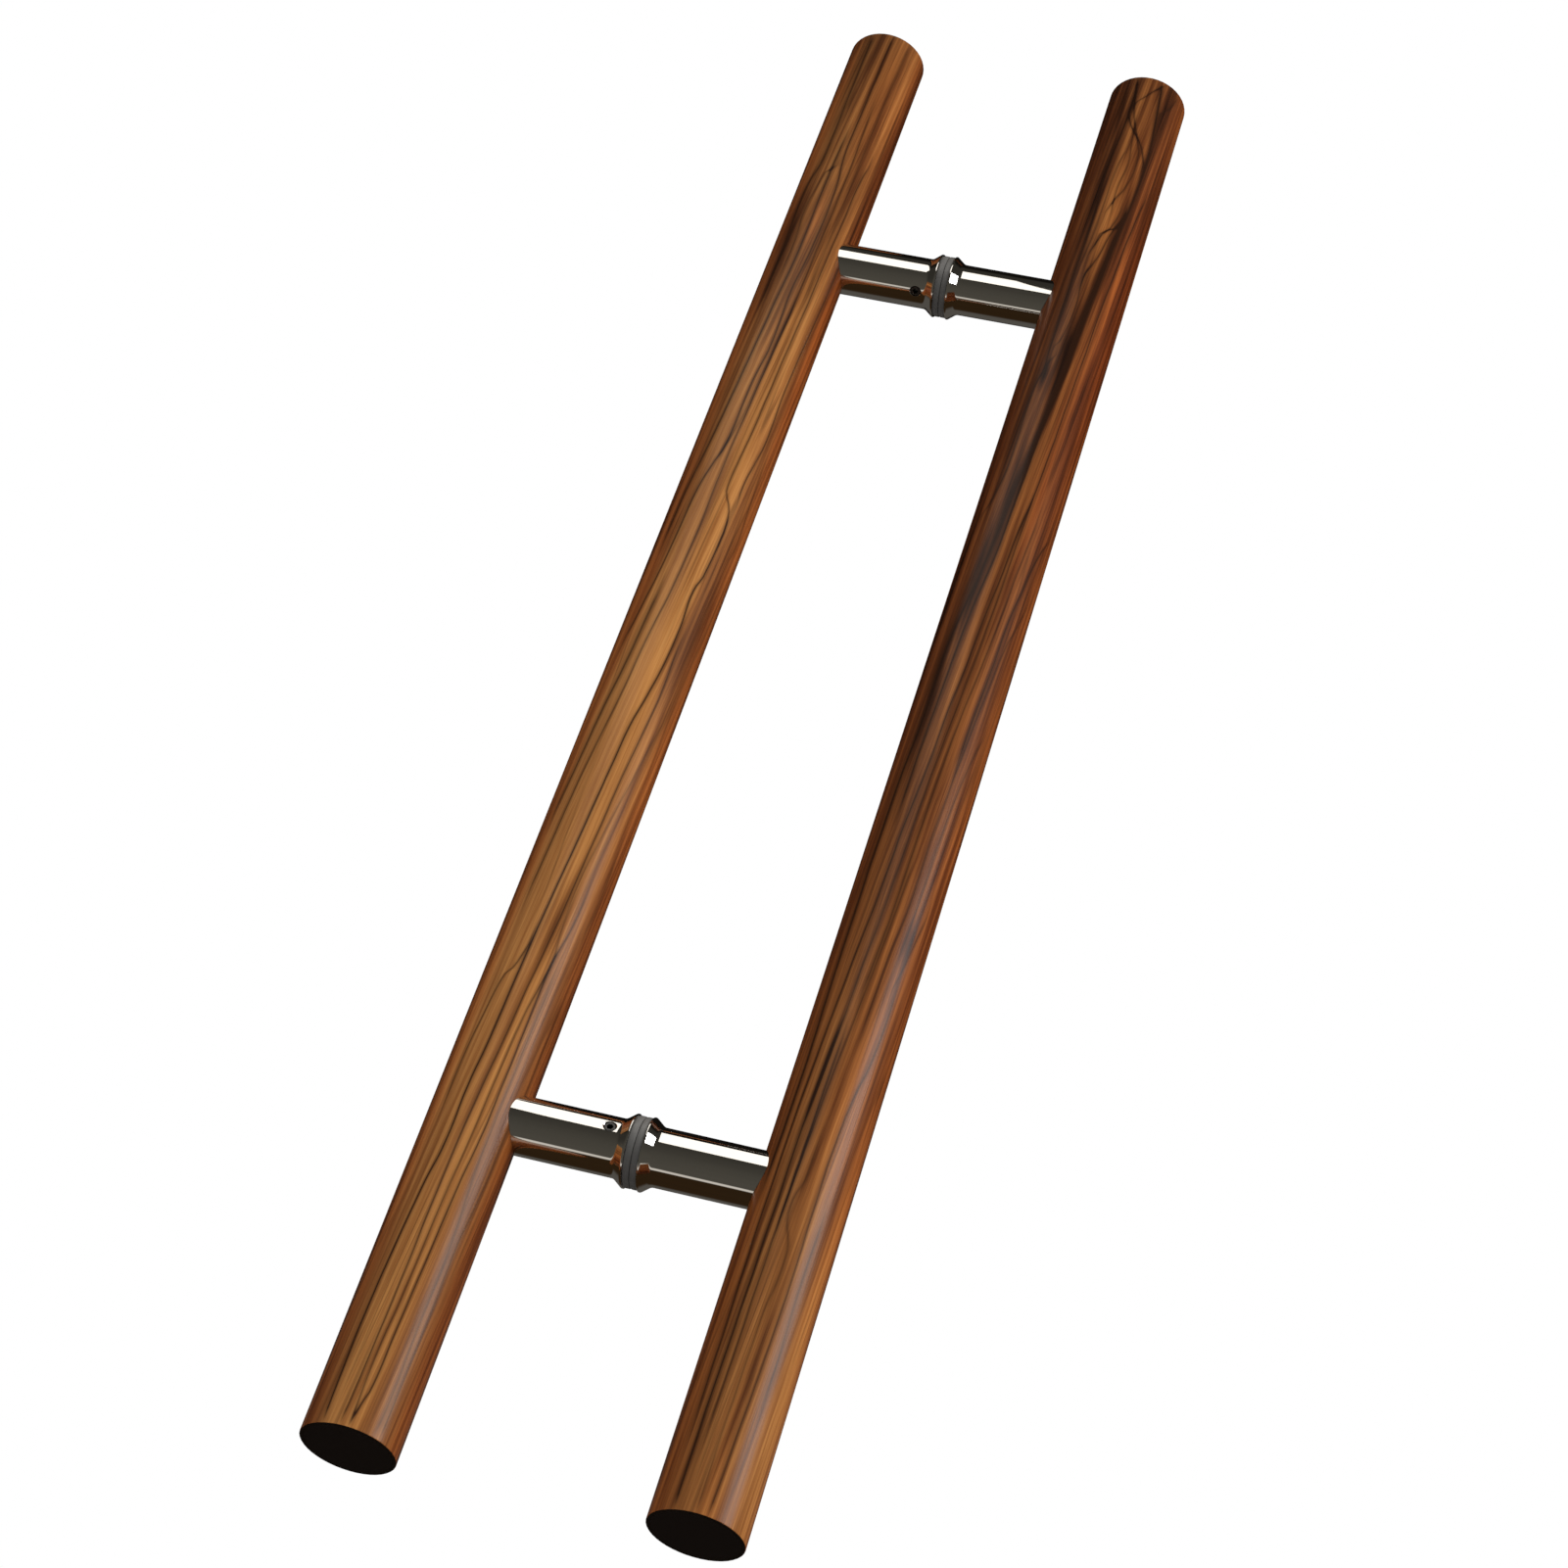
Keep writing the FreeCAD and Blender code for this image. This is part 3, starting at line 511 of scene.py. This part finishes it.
def lathe(name, profile, material, closed=True):
    """Revolves (station, radius) points round the local X axis. A station of None lies on the saddle."""
    mesh = bmesh.new()
    rings = []
    for station, radius in profile:
        if radius == 0.0:
            rings.append([mesh.verts.new((station, 0.0, 0.0))])
            continue
        ring = []
        for step in range(SEGMENTS):
            angle = 2.0 * math.pi * step / SEGMENTS
            y, z = radius * math.cos(angle), radius * math.sin(angle)
            x = saddle_station(y) if station is None else station
            ring.append(mesh.verts.new((x, y, z)))
        rings.append(ring)
    pairs = list(zip(rings, rings[1:]))
    if closed:
        pairs.append((rings[-1], rings[0]))
    for one, two in pairs:
        for step in range(SEGMENTS):
            after = (step + 1) % SEGMENTS
            corners = [one[step % len(one)], one[after % len(one)],
                       two[after % len(two)], two[step % len(two)]]
            unique = list(dict.fromkeys(corners))
            if len(unique) > 2:
                mesh.faces.new(unique)
    bmesh.ops.recalc_face_normals(mesh, faces=mesh.faces)
    return new_object(name, mesh, material)


def post_outside():
    """The collar with its eased edges, then cone, blend and shaft, up to the saddle."""
    face_edge, face_edge_middle = 0.00025, 0.00008
    rim_edge, rim_edge_middle = 0.0002, 0.00006
    points = [(0.0, COLLAR_RADIUS - face_edge), (face_edge_middle, COLLAR_RADIUS - face_edge_middle),
              (face_edge, COLLAR_RADIUS), (COLLAR_RIM - rim_edge, COLLAR_RADIUS),
              (COLLAR_RIM, COLLAR_RADIUS - rim_edge_middle),
              (COLLAR_RIM + rim_edge, COLLAR_RADIUS - rim_edge)]
    corner = COLLAR_RIM + (COLLAR_RADIUS - SHAFT_RADIUS) / math.tan(CONE_ANGLE)
    tangent = CONE_BLEND * math.tan(CONE_ANGLE / 2)
    points.append((corner - tangent * math.cos(CONE_ANGLE), SHAFT_RADIUS + tangent * math.sin(CONE_ANGLE)))
    centre = corner + tangent
    for step in range(1, BLEND_STEPS + 1):
        angle = CONE_ANGLE * (1.0 - step / BLEND_STEPS)
        radius = SHAFT_RADIUS + CONE_BLEND * (1.0 - math.cos(angle))
        points.append((centre - CONE_BLEND * math.sin(angle), radius))
    points += [(millimetre / 1000.0, SHAFT_RADIUS) for millimetre in range(8, 44, 2)]
    return points + [(None, SHAFT_RADIUS)]


def post_inside(side):
    """The bores, from the saddle back to the collar face."""
    saddle_ring, recess_radius, recess_floor, thread_end = 0.0094, 0.0067, 0.0438, 0.0298
    points = [(None, saddle_ring), (None, recess_radius), (recess_floor, recess_radius),
              (recess_floor, TAPPED_RADIUS), (thread_end, TAPPED_RADIUS), (thread_end - DRILL_POINT, 0.0)]
    if side == "left":
        pocket_radius, pocket_depth = 0.00815, 0.016
        return points + [(pocket_depth, 0.0), (pocket_depth, pocket_radius), (0.0, pocket_radius)]
    stud_depth = 0.020
    return points + [(stud_depth + DRILL_POINT, 0.0), (stud_depth, TAPPED_RADIUS), (0.0, TAPPED_RADIUS)]


def gasket_profile():
    """A washer with eased outer edges."""
    near_edge, near_rim = 0.00018, 0.01432
    flat = GASKET_RADIUS - GASKET_BEVEL
    return [(-COLLAR_FACE, GASKET_BORE), (-COLLAR_FACE, flat), (-COLLAR_FACE + near_edge, near_rim),
            (-COLLAR_FACE + GASKET_BEVEL, GASKET_RADIUS), (-GASKET_BEVEL, GASKET_RADIUS),
            (-near_edge, near_rim), (0.0, flat), (0.0, GASKET_BORE)]


def drill_grub_hole(post, angle):
    """Cuts the set screw's hole, with its countersunk mouth, into a post that still lies on local X."""
    hole, hole_start, sink_start, sink_end, mouth = 0.00255, 0.0062, 0.01168, 0.0136, 0.00447
    profile = [(hole_start, 0.0), (hole_start, hole), (sink_start, hole), (sink_end, mouth),
               (sink_end, 0.0)]
    cutter = lathe("cutter", profile, post.data.materials[0], closed=False)
    reach = Vector((0.0, -math.sin(angle), math.cos(angle)))
    aim = reach.to_track_quat("X", "Z").to_matrix().to_4x4()
    cutter.data.transform(Matrix.Translation((GRUB_FROM_COLLAR, 0.0, 0.0)) @ aim)
    cut = post.modifiers.new("hole", "BOOLEAN")
    cut.object = cutter
    cut.operation = "DIFFERENCE"
    cut.solver = "EXACT"
    graph = bpy.context.evaluated_depsgraph_get()
    drilled = bpy.data.meshes.new_from_object(post.evaluated_get(graph))
    post.modifiers.clear()
    post.data = drilled
    bpy.data.objects.remove(cutter)


def stand(thing, side, level):
    """Moves a turned piece to its place on the left or right of the door."""
    thing.data.transform(Matrix.Translation((COLLAR_FACE, 0.0, 0.0)))
    flip = Matrix.Diagonal((-1.0, 1.0, 1.0, 1.0)) if side == "left" else Matrix.Identity(4)
    lift = Matrix.Translation((0.0, 0.0, POST_HEIGHT if level == "upper" else -POST_HEIGHT))
    thing.data.transform(lift @ flip)
    if side == "left":
        thing.data.flip_normals()


def soften(thing):
    """Smooth shading, with the sharper edges kept."""
    thing.data.polygons.foreach_set("use_smooth", [True] * len(thing.data.polygons))
    thing.data.set_sharp_from_angle(angle=SHARP_EDGE)


for level in ("upper", "lower"):
    for side in ("left", "right"):
        name = f"{level}_{side}_post_turned"
        post = lathe(name, post_outside() + post_inside(side), materials["polished_steel"])
        if side == "left":
            drill_grub_hole(post, math.radians(GRUB_ANGLES[level]))
        stand(post, side, level)
        soften(post)
        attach(post, "root")
        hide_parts(f"{level}_{side}_post")

        gasket = lathe(f"{level}_{side}_gasket_moulded", gasket_profile(), materials["grey_rubber"])
        stand(gasket, side, level)
        soften(gasket)
        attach(gasket, "root")
        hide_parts(f"{level}_{side}_gasket")


# Stage

FLOOR_HALF_WIDTH = 6.0
FLOOR_HEIGHT = -1.15
AMBIENT = 0.62
TENT_RADIUS = 3.0

# Angle of the light seam in the tent, in degrees above the level of the object on its front side.
# The tent glows in these colours, which paint the reflections in the steel and the lacquer.
SEAM = -79.0
SEAM_COLOUR = (0.60, 0.56, 0.50, 1.0)
OVERHEAD_COLOUR = (0.006, 0.005, 0.004, 1.0)
BEHIND_COLOUR = (0.085, 0.078, 0.068, 1.0)


def floor_material():
    tree = Tree("floor")
    speck = tree.noise(tree.position(), 3.0, 2.0)
    return tree.principled({"Base Color": tree.mix(speck, grey(0.80), grey(0.84)), "Roughness": 0.9})


def pale_floor():
    """A wide floor. Glossy rays don't see it, so what the steel mirrors from below is the dark tent."""
    half = FLOOR_HALF_WIDTH
    mesh = bmesh.new()
    corners = [(-half, -half, 0.0), (half, -half, 0.0), (half, half, 0.0), (-half, half, 0.0)]
    mesh.faces.new([mesh.verts.new(corner) for corner in corners])
    thing = new_object("floor", mesh, floor_material())
    thing.location.z = FLOOR_HEIGHT
    thing.visible_glossy = False
    return thing


def studio_world():
    """White to the camera, to mirrors and to glass, and a plain soft light for everything else."""
    world = bpy.data.worlds.new("studio")
    bpy.context.scene.world = world
    world.use_nodes = True
    world.cycles.sampling_method = "NONE"
    sky = world.node_tree
    sky.nodes.clear()
    path = sky.nodes.new("ShaderNodeLightPath")
    seen = path.outputs["Is Camera Ray"]
    for ray in ("Is Glossy Ray", "Is Transmission Ray"):
        either = sky.nodes.new("ShaderNodeMath")
        either.operation = "MAXIMUM"
        sky.links.new(seen, either.inputs[0])
        sky.links.new(path.outputs[ray], either.inputs[1])
        seen = either.outputs[0]
    choose = sky.nodes.new("ShaderNodeMixShader")
    sky.links.new(seen, choose.inputs[0])
    for socket, strength in ((choose.inputs[1], AMBIENT), (choose.inputs[2], 1.0)):
        background = sky.nodes.new("ShaderNodeBackground")
        background.inputs["Color"].default_value = (1, 1, 1, 1)
        background.inputs["Strength"].default_value = strength
        sky.links.new(background.outputs[0], socket)
    out = sky.nodes.new("ShaderNodeOutputWorld")
    sky.links.new(choose.outputs[0], out.inputs["Surface"])


def painted_reflection_glow():
    """Glowing cover of the tent, which only polished and lacquered surfaces see and which paints their
    reflections.
    It glows greenish grey in front, brown below a light seam, black overhead and dim grey behind."""
    tree = Tree("painted_reflection_glow")
    _, y, z = tree.separate(tree.vector("NORMALIZE", tree.position()))
    rise = tree.math("ARCTAN2", z, tree.math("MULTIPLY", y, -1.0))

    def between(value, low, high, start=0.0, end=1.0):
        return tree.smooth(value, math.radians(low), math.radians(high), start, end)

    glow_noise = tree.noise(tree.position(), 2.0, 3.0)
    front = tree.mix(glow_noise, (0.046, 0.042, 0.034, 1.0), (0.056, 0.051, 0.041, 1.0))
    front = tree.vector("SCALE", front, None, None, between(rise, -70.0, 60.0, 1.35, 0.55))
    low = tree.mix(glow_noise, (0.022, 0.012, 0.005, 1.0), (0.028, 0.015, 0.006, 1.0))
    colour = tree.mix(between(rise, SEAM - 2.0, SEAM + 2.0), low, front)
    from_seam = tree.math("ABSOLUTE", tree.math("SUBTRACT", rise, math.radians(SEAM)))
    colour = tree.mix(between(from_seam, 2.0, 5.5, 1.0, 0.0), colour, SEAM_COLOUR)
    colour = tree.mix(between(rise, 70.0, 82.0), colour, OVERHEAD_COLOUR)
    colour = tree.mix(between(tree.math("ABSOLUTE", rise), 148.0, 164.0), colour, BEHIND_COLOUR)
    return tree.surface(tree.add("ShaderNodeEmission", {"Color": colour, "Strength": 1.0}).outputs[0])


def tent():
    """A wide dark tent right round the object, which glossy rays alone see. It glows, and paints the
    reflections in the steel and the lacquer.
    """
    mesh = bmesh.new()
    bmesh.ops.create_icosphere(mesh, subdivisions=4, radius=TENT_RADIUS)
    thing = new_object("tent", mesh, painted_reflection_glow())
    for ray in ("camera", "diffuse", "shadow", "transmission", "volume_scatter"):
        setattr(thing, f"visible_{ray}", False)
    return thing


def area_light(name, place, target, width, height, power, colour=(1, 1, 1)):
    data = bpy.data.lights.new(name, "AREA")
    data.shape = "RECTANGLE"
    data.size = width
    data.size_y = height
    data.energy = power
    data.color = colour
    light = bpy.data.objects.new(name, data)
    bpy.context.scene.collection.objects.link(light)
    light.location = place
    aim = Vector(target) - Vector(place)
    light.rotation_euler = aim.to_track_quat("-Z", "Y").to_euler()


floor = pale_floor()
studio_world()
reflection_tent = tent()
area_light("key", (1.3, -0.53, 0.38), (0.0, 0.0, -0.25), width=0.75, height=0.7, power=16.0)
area_light("panel", (-0.18, -0.71, 0.43), (-0.18, -0.71, 0.0), width=0.36, height=1.07, power=1.6,
           colour=(1.0, 0.95, 0.87))


# Camera

def photo_camera():
    """A camera where the photo's stood, as fitted to the outlines of the bars."""
    data = bpy.data.cameras.new("camera")
    data.sensor_width = 36.0
    data.lens = 78.66
    camera = bpy.data.objects.new("camera", data)
    bpy.context.scene.collection.objects.link(camera)
    right = Vector((0.96354, 0.01805, 0.26697))
    up = Vector((-0.20003, -0.61409, 0.76347))
    ahead = Vector((-0.17772, 0.78903, 0.58808))
    turn = Matrix((right, up, -ahead)).transposed()
    camera.matrix_world = Matrix.Translation((0.26406, -1.14634, -0.91355)) @ turn.to_4x4()
    return camera


bpy.context.scene.camera = photo_camera()
bpy.context.scene.view_settings.view_transform = "Standard"
